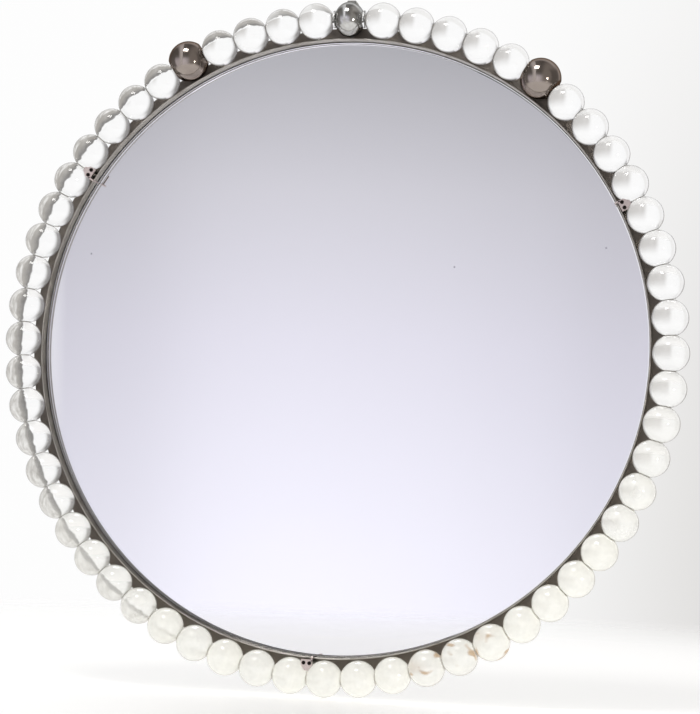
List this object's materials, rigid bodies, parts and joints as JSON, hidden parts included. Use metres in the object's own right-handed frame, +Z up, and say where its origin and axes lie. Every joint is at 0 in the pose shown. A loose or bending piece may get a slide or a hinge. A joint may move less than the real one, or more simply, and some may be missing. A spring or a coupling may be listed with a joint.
{
  "type": "round wall mirror",
  "caption": "Round wall mirror in a thin metal rim, framed by a ring of drilled glass balls strung on a clear rod, with a swinging hanging ring behind.",
  "frame": {"origin": "centre of the back plate's rear face", "axes": "+Z up as it hangs; the mirror faces -Y and the wall is on the +Y side; +X to the right as seen from the front"},
  "size_m": [0.476, 0.0371, 0.4777],
  "materials": {
    "plate_paint": "satin taupe paint",
    "rim_steel": "fine satin",
    "rivet_aluminium": "as drawn",
    "felt": "pressed felt",
    "silvering": "silvered",
    "mirror_glass": "polished, ground edge",
    "clear_rod": "clear acrylic",
    "wire_steel": "drawn",
    "ball_glass": "polished",
    "washer_nylon": "translucent",
    "dark_nickel": "polished dark nickel",
    "black_steel": "blackened",
    "bright_silver": "polished",
    "rose_nickel": "satin nickel",
    "brass_nut": "turned",
    "strap_steel": "zinc plated",
    "bumper_rubber": "matt"
  },
  "bodies": {
    "mirror": {"back_plate": "plate_paint", "mirror_rim": "rim_steel", "rim_rivets": "rivet_aluminium", "felt_pad": "felt", "silvering": "silvering", "mirror_glass": "mirror_glass", "rod_upper": "clear_rod", "rod_lower": "clear_rod", "balls_top_right": "ball_glass", "balls_upper_right": "ball_glass", "balls_right": "ball_glass", "balls_lower_right": "ball_glass", "balls_lower_left": "ball_glass", "balls_left": "ball_glass", "balls_upper_left": "ball_glass", "balls_top_left": "ball_glass", "washers_right": "washer_nylon", "washers_left": "washer_nylon", "coupling_ball_right": "dark_nickel", "coupling_ball_left": "dark_nickel", "grub_screws": "black_steel", "crown_bead": "bright_silver", "crown_collars": "ball_glass", "clip_right": "rose_nickel", "clip_bottom": "rose_nickel", "clip_left": "rose_nickel", "clip_posts": "wire_steel", "clip_screws": "black_steel", "clip_nuts": "brass_nut", "hanger_strap": "strap_steel", "strap_rivets": "rivet_aluminium", "ring_keeper": "strap_steel", "keeper_rivets": "rivet_aluminium", "bumpers": "bumper_rubber", "bumper_screws": "rivet_aluminium"},
    "hanging_ring": {"hanger_ring": "wire_steel"}
  },
  "joints": [
    {"name": "ring_swing", "type": "hinge", "parent": "mirror", "child": "hanging_ring", "pos_m": [0, 0.00373, 0.182], "axis": [1, 0, 0], "range_deg": [0, 180]}
  ]
}
